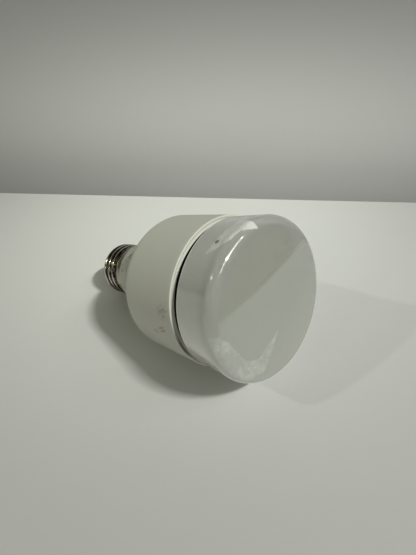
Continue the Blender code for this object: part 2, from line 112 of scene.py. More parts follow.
# painted bounce light: the ledge is painted lighter again near the bottom
LEDGE_PAINTED_BOUNCE = (0.80, 0.74, 0.58)
RING_WARM = (0.76, 0.74, 0.65)
# painted bounce light: the ring is painted lighter near the bottom
RING_PAINTED_BOUNCE = (0.88, 0.82, 0.66)

# Stains and scuffs: (centre, reach, grain, noise limits, colour, strength)
HOUSING_MARKS = (
    (at(187, 30.0, 73.4), (3.0, 1.9, 3.2), 2.4, (0.38, 0.56), (0.40, 0.27, 0.17), 0.35),
    (at(168, 30.0, 81.5), (3.0, 4.6, 4.4), 1.2, (0.44, 0.60), (0.20, 0.19, 0.16), 0.45),
    (at(196, 30.0, 66.0), (3.0, 4.0, 6.0), 2.6, (0.50, 0.66), (0.33, 0.27, 0.20), 0.35),
)
# Short rust streaks: (height, station, strength)
RUST_STREAKS = ((-0.9, 78.2, 0.5), (-2.1, 78.9, 0.62))
RUST_SLOPE = math.radians(23)
RUST_REACH = (2.6, 0.62)  # along and across a streak
RUST_COLOUR = (0.42, 0.17, 0.08)

# Diffuser finish
DIFFUSER_FACE_COLOUR = (0.372, 0.376, 0.337)
# painted light: the side wall is painted lighter than the face, darker at the top and lighter
# towards the bottom
DIFFUSER_SIDE_PAINTED_LIGHT = ((0.515, 0.513, 0.498), (0.74, 0.735, 0.71))
# painted shade: the rounded corner is painted darker, most towards the top
DIFFUSER_CORNER_SHADE = (0.36, 0.36, 0.35)
# painted highlight along the diffuser's rear edge
DIFFUSER_EDGE_HIGHLIGHT = (0.86, 0.84, 0.86)
DIFFUSER_SOCKETS = {
    "Subsurface_Weight": 1.0,
    "Subsurface_Radius": (1.0, 1.0, 1.0),
    "Subsurface_Scale": 0.003,
    "Coat_Weight": 1.0,
    "Coat_Roughness": 0.028,
    "Coat_IOR": 1.6,
}

# Torn film on the diffuser: (angle, inner reach, outer reach), reach from the middle of the face
UPPER_FILM = (
    (91, 28, 36.5),
    (96, 29, 36.8),
    (103, 31, 37.2),
    (112, 31.6, 37.6),
    (119, 34.5, 38.2),
    (124, 38, 38.7),
)
LOWER_FILM = (
    (175, 28.5, 31.4),
    (183, 24.8, 31.2),
    (197, 23.3, 30.8),
    (212, 23.2, 30.4),
    (226, 21, 29.8),
    (236, 19, 25),
)
# A tapered strip: first and last place on the face, first and last width
LOWER_FILM_TAIL = ((-13.0, -19.0), (-1.8, -11.2), 3.4, 0.4)
FILM_RADIUS = 30.0  # turns angles along the film into lengths
FILM_BRIGHT_SPAN = 11.0  # degrees over which the upper film's bright end fades
FILM_BRIGHT_REACH = 34.0  # no bright film further out than this
FILM_COLOUR = (0.74, 0.74, 0.72)
# painted shade: a hole that is not cut in the mesh, its dark inside painted
FILM_HOLE = at(114.5, 30.35, 99.7)

# The bulb's own directions, for the windings of the inner nodes
ALONG = tuple(axis)
ACROSS = tuple(bulb_matrix.to_3x3() @ Vector((0.0, 1.0, 0.0)))

# Table and wall
TABLE_FRONT = -273.0
TABLE_SIDE = -900.0
TABLE_CORNER = (427.0, TABLE_FRONT)
TABLE_EDGE = Vector((-0.655, 0.755))  # along the table's back edge, leftwards
TABLE_LENGTH = 1900.0
TABLE_THICKNESS = 30.0
# painted pool of light: the table is painted lightest round one place and darker further off
TABLE_LIGHT_POOL_COLOURS = ((0.76, 0.76, 0.75), (0.41, 0.41, 0.405))
TABLE_LIGHT_POOL_CENTRE = (85.0, 75.0, 0.0)
TABLE_LIGHT_POOL_FADE = (30.0, 240.0)
WALL_GAP = 60.0
WALL_OVERHANG = 600.0
WALL_LENGTH = 2400.0
WALL_THICKNESS = 20.0
WALL_HEIGHTS = (-300.0, 420.0)
# painted pool of light: the wall is painted lightest round one place and darker further off, also
# near the table
WALL_LIGHT_POOL_COLOURS = ((0.70, 0.70, 0.70), (0.28, 0.28, 0.28))
WALL_LIGHT_POOL_CENTRE = (25.0, 25.0)  # sideways and up
WALL_LIGHT_POOL_FADE = (340.0, 100.0)

# Light
LIGHT_TINT = (0.975, 1.0, 0.93)
SHADOW_TINT = (0.98, 1.0, 0.74)
ROOM_STRENGTH = 0.025
LIGHT_AIM = (0.0, 0.0, 30.0)
MAIN_DIRECTION = (0.055, -0.62, 0.78)
# (name, direction, distance, long and short side, watts, tint)
LIGHTS = (
    ("main_light", MAIN_DIRECTION, 1500.0, (190.0, 20.0), 15.6, LIGHT_TINT),
    ("long_light", MAIN_DIRECTION, 1505.0, (1250.0, 9.0), 4.6, LIGHT_TINT),
    ("side_light", (-0.683, 0.348, 0.643), 1200.0, (32.0, 32.0), 2.1, SHADOW_TINT),
    ("low_light", (-0.908, 0.015, 0.419), 900.0, (12.0, 12.0), 0.34, LIGHT_TINT),
    ("camera_light", (-0.592, -0.586, 0.554), 700.0, (10.0, 10.0), 0.16, LIGHT_TINT),
)

# Camera
CAMERA_YAW = math.radians(46.01)
CAMERA_PITCH = math.radians(37.24)
CAMERA_LENS = 24.97
CAMERA_SENSOR = 36.0
CAMERA_AIM_STATION = 86.4
# The camera's place from its aim, along its own axes
CAMERA_LEFT, CAMERA_UP, CAMERA_BACK = 8.988, 5.733, 151.71


# ---------------------------------------- mesh code


def arc(centre, radius, first, last, steps):
    """Points (radius, station) round a centre. 0 degrees is outwards, 90 is towards the face."""
    angles = np.radians(np.linspace(first, last, steps + 1))
    return [(centre[0] + radius * math.cos(a), centre[1] + radius * math.sin(a)) for a in angles]


def line(first, last, steps):
    """Points from first up to last, without last."""
    return [tuple(np.array(first) + (np.array(last) - first) * k / steps) for k in range(steps)]


def cubic(first, first_handle, last_handle, last, steps):
    points = []
    for step in range(steps + 1):
        t = step / steps
        weights = np.array(((1 - t) ** 3, 3 * t * (1 - t) ** 2, 3 * t * t * (1 - t), t**3))
        points.append(tuple(weights @ np.array((first, first_handle, last_handle, last), float)))
    return points


def rounded(points, radius, steps=4):
    """The closed outline with each corner that turns sharply replaced by a small arc."""
    out = []
    count = len(points)
    for index, here in enumerate(points):
        before, after = points[index - 1], points[(index + 1) % count]
        here = np.array(here, float)
        into, away = here - before, np.array(after, float) - here
        length_in, length_out = np.hypot(*into), np.hypot(*away)
        on_axis = here[0] < 1e-6
        turn = abs(math.degrees(math.atan2(into[0] * away[1] - into[1] * away[0], into @ away)))
        if on_axis or turn < 25 or min(length_in, length_out) < 1e-6:
            out.append(tuple(here))
            continue
        cut = min(radius, 0.45 * length_in, 0.45 * length_out)
        start, end = here - into / length_in * cut, here + away / length_out * cut
        for step in range(steps + 1):
            t = step / steps
            out.append(tuple((1 - t) ** 2 * start + 2 * t * (1 - t) * here + t * t * end))
    return out


def spun(name, outline, segments=SEGMENTS, grow=None):
    """A closed outline (radius, station) spun round the axis, as an object in the bulb's frame.

    grow(angle, station, radius) may move points in or out.
    """
    outline = np.array(outline, float)
    angles = np.linspace(0, 2 * math.pi, segments, endpoint=False)
    angles = angles - math.pi / 2 + math.pi / segments
    starts, verts = [], []
    for radius, station in outline:
        starts.append(len(verts))
        if radius < 1e-6:
            verts.append((0.0, 0.0, station))
            continue
        grown = [grow(a, station, radius) if grow else radius for a in angles]
        verts.extend((g * math.cos(a), g * math.sin(a), station) for g, a in zip(grown, angles))
    faces = []
    for index in range(len(outline)):
        following = (index + 1) % len(outline)
        low, high = starts[index], starts[following]
        low_point, high_point = outline[index][0] < 1e-6, outline[following][0] < 1e-6
        if low_point and high_point:
            continue
        for k in range(segments):
            n = (k + 1) % segments
            if low_point:
                faces.append((low, high + n, high + k))
            elif high_point:
                faces.append((low + k, low + n, high))
            else:
                faces.append((low + k, low + n, high + n, high + k))
    mesh = bpy.data.meshes.new(name)
    mesh.from_pydata((np.array(verts) * MM).tolist(), [], faces)
    signed = np.sum([(a[0] * b[1] - b[0] * a[1]) for a, b in zip(outline, np.roll(outline, -1, 0))])
    if signed < 0:
        mesh.flip_normals()
    mesh.shade_smooth()
    mesh.set_sharp_from_angle(angle=math.radians(50))
    obj = bpy.data.objects.new(name, mesh)
    bpy.context.scene.collection.objects.link(obj)
    obj.matrix_world = bulb_matrix
    bpy.context.view_layer.update()
    return obj


def stand_for(obj, node, material):
    """The finer piece takes the CAD node's place."""
    obj.data.materials.append(material)
    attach(obj, "root")
    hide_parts(node)


def put_attribute(obj, name, values):
    layer = obj.data.attributes.new(name, "FLOAT", "POINT")
    layer.data.foreach_set("value", np.asarray(values, np.float32))


# ---------------------------------------- node code


def rgba(value):
    """A socket as it is, or a colour of three numbers with its alpha."""
    return value if isinstance(value, bpy.types.NodeSocket) else (*value, 1.0)


class Finish:
    """A Principled material whose maps come from chains of nodes. Places are in millimetres."""

    def __init__(self, name, roughness=0.5, metallic=0.0, ior=1.5, **sockets):
        self.material = bpy.data.materials.new(name)
        self.material.use_nodes = True
        self.tree = self.material.node_tree
        self.shader = self.tree.nodes["Principled BSDF"]
        self.shader.inputs["Roughness"].default_value = roughness
        self.shader.inputs["Metallic"].default_value = metallic
        self.shader.inputs["IOR"].default_value = ior
        for socket, value in sockets.items():
            self.shader.inputs[socket.replace("_", " ")].default_value = value
        coordinates = self.tree.nodes.new("ShaderNodeTexCoord")
        self.place = self.vector("MULTIPLY", coordinates.outputs["Object"], (1000.0,) * 3)

    def link(self, source, target):
        if isinstance(source, bpy.types.NodeSocket):
            self.tree.links.new(source, target)
        else:
            target.default_value = source

    def vector(self, operation, a, b=(0.0, 0.0, 0.0)):
        node = self.tree.nodes.new("ShaderNodeVectorMath")
        node.operation = operation
        self.link(a, node.inputs[0])
        self.link(b, node.inputs[1])
        is_number = operation in ("DISTANCE", "LENGTH", "DOT_PRODUCT")
        return node.outputs["Value" if is_number else "Vector"]

    def math(self, operation, a, b=0.0, clamp=False):
        node = self.tree.nodes.new("ShaderNodeMath")
        node.operation = operation
        node.use_clamp = clamp
        self.link(a, node.inputs[0])
        self.link(b, node.inputs[1])
        return node.outputs[0]

    def step(self, value, low, high):
        """0 below low, 1 above high, smooth between. high may be below low."""
        node = self.tree.nodes.new("ShaderNodeMapRange")
        node.interpolation_type = "SMOOTHSTEP"
        self.link(value, node.inputs["Value"])
        flip = high < low
        node.inputs["From Min"].default_value = high if flip else low
        node.inputs["From Max"].default_value = low if flip else high
        node.inputs["To Min"].default_value = 1.0 if flip else 0.0
        node.inputs["To Max"].default_value = 0.0 if flip else 1.0
        return node.outputs["Result"]

    def noise(self, size, detail=3.0, roughness=0.55, place=None, stretch=None, distortion=0.0):
        """Noise whose features are about size millimetres across, from 0 to 1."""
        node = self.tree.nodes.new("ShaderNodeTexNoise")
        place = place or self.place
        if stretch:
            place = self.vector("MULTIPLY", place, stretch)
        self.link(place, node.inputs["Vector"])
        node.inputs["Scale"].default_value = 1.0 / size
        node.inputs["Detail"].default_value = detail
        node.inputs["Roughness"].default_value = roughness
        node.inputs["Distortion"].default_value = distortion
        return node.outputs["Fac"]

    def cells(self, size):
        node = self.tree.nodes.new("ShaderNodeTexVoronoi")
        self.link(self.place, node.inputs["Vector"])
        node.inputs["Scale"].default_value = 1.0 / size
        return node.outputs["Distance"]

    def split(self):
        node = self.tree.nodes.new("ShaderNodeSeparateXYZ")
        self.link(self.place, node.inputs[0])
        return node.outputs[0], node.outputs[1], node.outputs[2]

    def join(self, x, y, z):
        node = self.tree.nodes.new("ShaderNodeCombineXYZ")
        for value, socket in zip((x, y, z), node.inputs):
            self.link(value, socket)
        return node.outputs[0]

    def radius(self):
        x, y, _ = self.split()
        squares = self.math("ADD", self.math("MULTIPLY", x, x), self.math("MULTIPLY", y, y))
        return self.math("SQRT", squares)

    def attribute(self, name):
        node = self.tree.nodes.new("ShaderNodeAttribute")
        node.attribute_name = name
        return node.outputs["Fac"]

    def blend(self, amount, first, second):
        """First colour where amount is 0, second where it is 1."""
        node = self.tree.nodes.new("ShaderNodeMix")
        node.data_type = "RGBA"
        self.link(amount, node.inputs["Factor"])
        sockets = [s for s in node.inputs if s.type == "RGBA"]
        for value, socket in zip((first, second), sockets):
            self.link(rgba(value), socket)
        return next(s for s in node.outputs if s.type == "RGBA")

    def between(self, amount, low, high):
        """The number low where amount is 0, high where it is 1."""
        return self.math("ADD", self.math("MULTIPLY", amount, high - low), low)

    def scratches(self, size, width, axis_stretch):
        """Thin hairlines: 1 on a line, 0 elsewhere."""
        bent = self.noise(size, detail=2.0, stretch=axis_stretch, distortion=0.8)
        off = self.math("ABSOLUTE", self.math("SUBTRACT", bent, 0.5))
        patchy = self.step(self.noise(size * 1.7, detail=1.0), 0.52, 0.62)
        return self.math("MULTIPLY", self.step(off, width, 0.0), patchy)

    def colour(self, value):
        self.link(rgba(value), self.shader.inputs["Base Color"])

    def rough(self, value):
        self.link(value, self.shader.inputs["Roughness"])

    def bump(self, height, depth_mm):
        """Height from 0 to 1, depth_mm deep. Several bumps chain."""
        node = self.tree.nodes.new("ShaderNodeBump")
        node.inputs["Strength"].default_value = 1.0
        node.inputs["Distance"].default_value = depth_mm * MM
        self.link(height, node.inputs["Height"])
        target = self.shader.inputs["Normal"]
        if target.is_linked:
            self.tree.links.new(target.links[0].from_socket, node.inputs["Normal"])
        self.tree.links.new(node.outputs["Normal"], target)


# ---------------------------------------- finishes of the outer pieces


def nickel_finish():
    f = Finish("nickel_plate", roughness=0.2, metallic=1.0)
    _, height, station = f.split()
    radius = f.radius()
    groove = f.step(radius, *GRIME_AND_SHADE_RADII)
    in_thread = f.math("MULTIPLY", f.step(station, 6.0, 7.4), f.step(station, 21.0, 20.0))
    groove = f.math("MULTIPLY", groove, in_thread)
    tint = f.noise(6.0, detail=4.0)
    skirt = f.step(station, 20.8, 21.4)
    clean = f.blend(tint, *NICKEL_COLOURS)
    # painted dark reflection: the skirt is painted darker than the threads
    clean = f.blend(skirt, clean, SKIRT_DARK_REFLECTION)
    # darker and browner towards the underside, in patches
    darker_below = f.math("MULTIPLY", f.step(height, 1.0, -9.0), f.between(tint, 0.6, 0.9))
    clean = f.blend(darker_below, clean, CAP_LOWER_DARK_COLOUR)
    # painted shade: the cap's underside is painted almost black
    clean = f.blend(f.step(height, -7.0, -11.5), clean, CAP_UNDERSIDE_SHADE)
    packed = f.step(f.noise(1.2, detail=5.0), 0.3, 0.6)
    # grime and painted shade: the thread valleys are painted nearly black
    grime_and_shade = f.math("MULTIPLY", groove, f.between(packed, 0.7, 1.0))
    f.colour(f.blend(grime_and_shade, clean, GRIME_AND_SHADE_COLOUR))
    spots = f.step(f.noise(0.9, detail=4.0), 0.60, 0.75)
    rough = f.math("ADD", f.between(tint, 0.14, 0.22), f.math("MULTIPLY", spots, 0.12))
    f.rough(f.math("ADD", rough, f.math("MULTIPLY", grime_and_shade, 0.12), clamp=True))
    f.bump(f.noise(0.22, detail=2.0, stretch=(0.06, 0.06, 1.0)), 0.012)
    f.bump(f.noise(5.0, detail=2.0), 0.06)
    f.bump(f.scratches(9.0, 0.006, (1.0, 1.0, 0.5)), 0.01)
    return f.material


def contact_finish():
    f = Finish("contact_metal", roughness=0.3, metallic=1.0)
    dull = f.noise(1.6, detail=5.0)
    f.colour(f.blend(dull, (0.62, 0.60, 0.56), (0.80, 0.79, 0.76)))
    f.rough(f.between(f.noise(0.5, detail=4.0), 0.2, 0.5))
    f.bump(dull, 0.05)
    f.bump(f.scratches(3.0, 0.01, (1.0, 1.0, 1.0)), 0.01)
    return f.material


def insulator_finish():
    f = Finish("black_glass_insulator", roughness=0.12, ior=1.52)
    dust = f.step(f.noise(1.1, detail=6.0), 0.52, 0.72)
    f.colour(f.blend(dust, (0.012, 0.012, 0.015), (0.07, 0.065, 0.06)))
    f.rough(f.between(dust, 0.08, 0.45))
    f.bump(f.noise(2.4, detail=3.0), 0.08)
    return f.material


def collar_finish():
    f = Finish("collar_plastic", roughness=0.5)
    _, _, station = f.split()
    cloud = f.noise(3.0, detail=4.0)
    clean = f.blend(cloud, (0.42, 0.42, 0.375), (0.53, 0.53, 0.475))
    fleck = f.step(f.noise(1.3, detail=5.0, stretch=(1.0, 1.0, 0.5), distortion=0.6), 0.50, 0.60)
    band = f.math("MULTIPLY", f.step(station, 27.6, 29.0), fleck)
    patchy = f.between(f.step(f.noise(9.0, detail=1.0), 0.42, 0.6), 0.25, 0.7)
    f.colour(f.blend(f.math("MULTIPLY", band, patchy), clean, (0.20, 0.20, 0.16)))
    f.rough(f.between(cloud, 0.38, 0.62))
    f.bump(f.noise(0.35, detail=3.0), 0.02)
    f.bump(fleck, 0.03)
    return f.material


def housing_finish():
    f = Finish("housing_plastic", roughness=0.5, ior=1.46)
    x, y, station = f.split()
    cloud = f.noise(14.0, detail=4.0)
    clean = f.blend(cloud, *HOUSING_COLOURS)
    speck = f.step(f.noise(0.55, detail=2.0), 0.74, 0.80)
    soiled = f.blend(f.math("MULTIPLY", speck, 0.35), clean, (0.22, 0.21, 0.17))
    slanted_y = f.math("SUBTRACT", y, f.math("MULTIPLY", station, 0.6))
    slanted = f.join(x, slanted_y, f.math("MULTIPLY", station, 0.3))
    for centre, reach, grain, limits, colour, strength in HOUSING_MARKS:
        spot = f.vector("SUBTRACT", f.place, centre)
        away = f.vector("LENGTH", f.vector("MULTIPLY", spot, tuple(1.0 / r for r in reach)))
        near = f.step(away, 1.0, 0.35)
        broken = f.step(f.noise(grain, detail=5.0, place=slanted, distortion=0.5), *limits)
        amount = f.math("MULTIPLY", f.math("MULTIPLY", near, broken), strength)
        soiled = f.blend(amount, soiled, colour)
    ripple = f.math("MULTIPLY", f.math("SUBTRACT", f.noise(0.9, detail=4.0), 0.5), 0.9)
    outward = f.step(x, -20.0, -24.0)
    cos_slope, sin_slope = math.cos(RUST_SLOPE), math.sin(RUST_SLOPE)
    for streak_height, streak_station, strength in RUST_STREAKS:
        up = f.math("SUBTRACT", y, streak_height)
        along = f.math("SUBTRACT", station, streak_station)
        length = f.math("MULTIPLY", along, cos_slope)
        length = f.math("ADD", length, f.math("MULTIPLY", up, sin_slope))
        across = f.math("MULTIPLY", up, cos_slope)
        across = f.math("SUBTRACT", across, f.math("MULTIPLY", along, sin_slope))
        length = f.math("DIVIDE", length, RUST_REACH[0])
        across = f.math("DIVIDE", across, RUST_REACH[1])
        away = f.vector("LENGTH", f.join(length, across, ripple))
        amount = f.math("MULTIPLY", f.math("MULTIPLY", f.step(away, 1.15, 0.5), outward), strength)
        soiled = f.blend(amount, soiled, RUST_COLOUR)
    ledge = f.step(station, LEDGE_FRONT - 0.35, LEDGE_FRONT - 0.1)
    # painted shade: the ledge darker from mid-height down
    rim = f.blend(f.step(y, 0.0, -6.5), LEDGE_COLOUR, LEDGE_PAINTED_SHADE)
    # painted bounce light near the bottom of the ledge
    rim = f.blend(f.step(y, -9.5, -15.0), rim, LEDGE_PAINTED_BOUNCE)
    f.colour(f.blend(ledge, soiled, rim))
    f.rough(f.between(f.noise(2.2, detail=5.0), 0.42, 0.60))
    f.bump(f.noise(0.28, detail=2.0), 0.012)
    f.bump(f.noise(20.0, detail=2.0), 0.12)
    f.bump(f.scratches(16.0, 0.004, (1.0, 1.0, 0.35)), 0.015)
    return f.material


def ring_finish():
    f = Finish("ring_plastic", roughness=0.35)
    cloud = f.noise(2.5, detail=4.0)
    dirt = f.step(f.noise(0.8, detail=5.0), 0.62, 0.78)
    _, height, _ = f.split()
    clean = f.blend(cloud, LEDGE_COLOUR, RING_WARM)
    # painted bounce light near the bottom of the ring
    clean = f.blend(f.step(height, -6.0, -13.0), clean, RING_PAINTED_BOUNCE)
    soiled = f.blend(f.math("MULTIPLY", dirt, 0.25), clean, (0.30, 0.27, 0.20))
    # painted shade: the ring's inner edge next to the seal is painted black, except low down
    seal_gap_shade = f.step(f.radius(), SEAL_RADIUS + 0.42, SEAL_RADIUS + 0.3)
    seal_gap_shade = f.math("MULTIPLY", seal_gap_shade, f.step(height, -15.0, -6.0))
    f.colour(f.blend(seal_gap_shade, soiled, (0.012, 0.012, 0.011)))
    f.rough(f.between(cloud, 0.28, 0.5))
    f.bump(f.noise(0.4, detail=3.0), 0.01)
    return f.material


def rubber_finish():
    f = Finish("gasket_rubber", roughness=0.7, ior=1.3, Specular_IOR_Level=0.2)
    bloom = f.noise(0.8, detail=4.0)
    f.colour(f.blend(bloom, (0.002, 0.002, 0.002), (0.008, 0.008, 0.007)))
    f.rough(f.between(bloom, 0.6, 0.85))
    f.bump(bloom, 0.02)
    return f.material


def diffuser_finish():
    f = Finish("opal_plastic", roughness=0.1, ior=1.7, **DIFFUSER_SOCKETS)
    _, height, station = f.split()
    cloud = f.noise(18.0, detail=3.0)
    # painted light on the side wall, graded from top to bottom
    side = f.step(station, CORNER_STATION + 3.6, CORNER_STATION - 0.5)
    painted_wall_light = f.blend(f.step(height, 26.0, -22.0), *DIFFUSER_SIDE_PAINTED_LIGHT)
    body = f.blend(side, DIFFUSER_FACE_COLOUR, painted_wall_light)
    body = f.blend(f.math("MULTIPLY", cloud, 0.12), body, (0.50, 0.50, 0.50))
    dust = f.step(f.noise(0.5, detail=3.0), 0.72, 0.80)
    body = f.blend(f.math("MULTIPLY", dust, 0.2), body, (0.62, 0.62, 0.58))
    # painted highlight along the rear edge
    edge_highlight = f.step(station, DIFFUSER_REAR + 0.7, DIFFUSER_REAR + 0.45)
    body = f.blend(edge_highlight, body, DIFFUSER_EDGE_HIGHLIGHT)
    # painted shade on the corner, strongest at the top
    corner_shade = f.math("MULTIPLY", f.step(station, 99.0, 104.5), f.step(f.radius(), 23.5, 28.0))
    corner_shade = f.math("MULTIPLY", corner_shade, f.between(f.step(height, -22.0, 20.0), 0.05, 0.5))
    body = f.blend(corner_shade, body, DIFFUSER_CORNER_SHADE)

    torn = f.noise(1.3, detail=6.0, roughness=0.65)
    ragged = f.math("MULTIPLY", f.math("SUBTRACT", torn, 0.5), 1.6)
    upper_edge = f.math("ADD", f.attribute("film_upper"), f.math("MULTIPLY", ragged, 0.45))
    upper = f.step(upper_edge, -0.08, 0.12)
    depth = f.math("ADD", f.attribute("film_lower"), f.math("MULTIPLY", ragged, 1.3))
    lower = f.step(depth, -0.25, 0.7)
    rim = f.step(f.math("ABSOLUTE", f.math("SUBTRACT", depth, 0.15)), 0.3, 0.0)
    bright = f.attribute("film_bright")
    streaks = f.step(f.noise(1.5, detail=5.0, stretch=(0.35, 1.0, 1.0)), 0.3, 0.66)
    upper_amount = f.math("MULTIPLY", bright, 0.45)
    upper_amount = f.math("ADD", upper_amount, f.between(streaks, 0.3, 0.75), clamp=True)
    upper_amount = f.math("MULTIPLY", upper, upper_amount)
    upper_rim = f.step(f.math("ABSOLUTE", f.attribute("film_upper")), 0.28, 0.05)
    upper_rim = f.math("MULTIPLY", upper_rim, f.between(streaks, 0.0, 0.9))
    upper_amount = f.math("MAXIMUM", upper_amount, upper_rim)
    patches = f.step(f.noise(7.0, detail=3.0, distortion=0.4), 0.36, 0.60)
    blotch = f.step(f.noise(2.4, detail=6.0, roughness=0.72, distortion=0.5), 0.30, 0.72)
    blotch = f.math("MULTIPLY", blotch, f.between(patches, 0.35, 1.0))
    blotch = f.math("MULTIPLY", blotch, 0.42)
    lower_amount = f.math("MULTIPLY", lower, f.math("ADD", blotch, 0.04))
    lower_amount = f.math("MAXIMUM", lower_amount, f.math("MULTIPLY", rim, 0.2))
    film = f.math("MAXIMUM", upper_amount, lower_amount)
    body = f.blend(film, body, FILM_COLOUR)

    # painted shade: the dark inside of the hole is painted
    hole_away = f.vector("DISTANCE", f.place, FILM_HOLE)
    hole = f.step(f.math("ADD", hole_away, f.math("MULTIPLY", ragged, 0.5)), 1.0, 0.6)
    f.colour(f.blend(f.math("MULTIPLY", hole, 0.8), body, (0.06, 0.06, 0.05)))

    base_rough = f.between(f.noise(9.0, detail=4.0), 0.04, 0.09)
    lower_rough = f.math("MULTIPLY", lower_amount, 0.5)
    covered = f.math("MAXIMUM", f.math("MULTIPLY", upper, 0.25), lower_rough)
    f.rough(f.math("ADD", base_rough, covered, clamp=True))
    f.bump(f.noise(26.0, detail=1.0), 0.10)
    f.bump(f.math("MULTIPLY", upper, f.between(streaks, 0.6, 1.0)), 0.06)
    f.bump(lower_amount, 0.05)
    f.bump(f.scratches(12.0, 0.003, (1.0, 0.6, 1.0)), 0.006)
    return f.material


# ---------------------------------------- outer pieces


def thread_radius(angle, station, radius):
    """The rolled right-hand thread, as in the CAD, with soft ends."""
    if not (THREAD_START < station < THREAD_END) or radius < THREAD_ROOT_RADIUS - 0.1:
        return radius
    phase = (station - CREST_ON_FLOOR) / THREAD_PITCH - (angle + math.pi / 2) / (2 * math.pi)
    crest = 0.5 + 0.5 * math.cos(2 * math.pi * phase)
    run_in = (station - THREAD_START) / THREAD_RUN_OUT
    run_out = (THREAD_END - station) / THREAD_RUN_OUT
    fade = max(0.0, min(1.0, run_in, run_out))
    return THREAD_ROOT_RADIUS + (THREAD_CREST_RADIUS - THREAD_ROOT_RADIUS) * crest * fade


def make_outer_pieces():
    outline = [(9.6, 4.8)] + arc((10.4, 6.1), 1.3, -90, 0, 10)
    outline += line((11.85, 6.6), (THREAD_ROOT_RADIUS, THREAD_START), 3)
    outline += line((THREAD_ROOT_RADIUS, THREAD_START), (THREAD_ROOT_RADIUS, THREAD_END), 72)
    outline += cubic((THREAD_ROOT_RADIUS, THREAD_END), (12.3, 20.6), (13.25, 20.6), (13.3, 21.2), 8)
    outline += line((13.3, 21.6), (13.3, 25.6), 8)
    outline += arc((13.05, 25.75), 0.25, 0, 90, 4)
    outline += [(11.7, CAP_END), (11.7, 7.0), (11.2, 6.1), (10.6, 5.4), (9.6, 5.4)]
    cap = spun("fine_screw_cap", outline, grow=thread_radius)
    stand_for(cap, "screw_cap", nickel_finish())

    outline = [(1.6, 1.2), (5.4, 1.2), (9.2, 4.6), (9.2, 5.7), (10.3, 5.7)]
    outline += [(11.3, 7.1), (11.3, 8.0), (1.6, 8.0)]
    insulator = spun("fine_cap_insulator", rounded(outline, 0.35), 160)
    stand_for(insulator, "cap_insulator", insulator_finish())

    outline = [(0.0, 0.3), (0.8, 0.22), (1.3, 0.03), (1.9, 0.0), (4.2, 0.0)]
    outline += [(4.8, 0.5), (4.8, 0.9), (1.3, 0.9), (1.3, 7.4), (0.0, 7.4)]
    contact = spun("fine_centre_contact", rounded(outline, 0.2), 96)
    stand_for(contact, "centre_contact", contact_finish())

    outline = [(12.65, 26.3), (14.5, 26.3), (14.95, 26.8), (15.3, 28.6)]
    outline += line((15.3, 28.6), (16.9, 35.3), 10)[1:] + [(16.9, 35.3), (16.9, 36.1), (14.6, 36.1)]
    collar = spun("fine_neck_collar", rounded(outline, 0.3))
    stand_for(collar, "neck_collar", collar_finish())

    housing = spun("fine_housing", housing_outline())
    stand_for(housing, "housing", housing_finish())

    ring_radius = LEDGE_INNER - RING_GAP
    outline = [(28.1, 84.5), (ring_radius, 84.5), (ring_radius, LEDGE_FRONT), (26.6, LEDGE_FRONT)]
    outline += [(26.6, 85.75), (27.3, 85.75), (27.3, 82.0), (28.1, 82.0)]
    ring = spun("fine_trim_ring", rounded(outline, 0.06, 3))
    stand_for(ring, "trim_ring", ring_finish())

    outline = [(26.65, 86.4), (SEAL_RADIUS, 86.4), (SEAL_RADIUS, 89.25), (26.65, 89.25)]
    seal = spun("fine_seal_ring", rounded(outline, 0.12, 3))
    stand_for(seal, "seal_ring", rubber_finish())

    make_diffuser()


def housing_outline():
    outline = [(9.6, 10.0), (11.4, 10.0), (11.4, 26.3), (12.25, 26.3), (14.2, NECK_FRONT)]
    outline += arc((16.8, NECK_FRONT + 0.4), 0.4, -90, -20, 4)
    outline += cubic((17.2, 36.7), (23.5, 47.4), (29.32, 55.3), (29.4, 57.7), 60)
    outline += line((29.42, 58.2), (30.2, 85.6), 24)
    outline += arc((29.95, LEDGE_FRONT - 0.25), 0.25, 0, 90, 5)
    outline += [(29.25, LEDGE_FRONT), (LEDGE_INNER, LEDGE_FRONT - 0.05), (LEDGE_INNER, LEDGE_SEAT)]
    outline += [(28.4, LEDGE_SEAT), (27.7, 58.0)]
    outline += cubic((25.8, 58.0), (25.6, 54.0), (21.5, 48.0), (15.3, 38.4), 12)
    return outline + [(12.4, 36.8), (10.5, 26.8), (9.6, 25.6)]


def crown(corner_radius, corner_steps, crown_steps):
    """From the corner's start over the rounded corner and the domed face to the axis."""
    full_radius = (DIFFUSER_FRONT_RADIUS - CORNER_RADIUS) / math.sin(CROWN_SLOPE) + CORNER_RADIUS
    centre = CORNER_STATION - (full_radius - CORNER_RADIUS) * math.cos(CROWN_SLOPE)
    crown_radius = full_radius - (CORNER_RADIUS - corner_radius)
    corner_centre = (DIFFUSER_FRONT_RADIUS - CORNER_RADIUS, CORNER_STATION)
    points = arc(corner_centre, corner_radius, 0, 90 - math.degrees(CROWN_SLOPE), corner_steps)
    for step in range(1, crown_steps):
        slope = CROWN_SLOPE * (1 - step / crown_steps)
        points.append((crown_radius * math.sin(slope), centre + crown_radius * math.cos(slope)))
    return points + [(0.0, centre + crown_radius)]


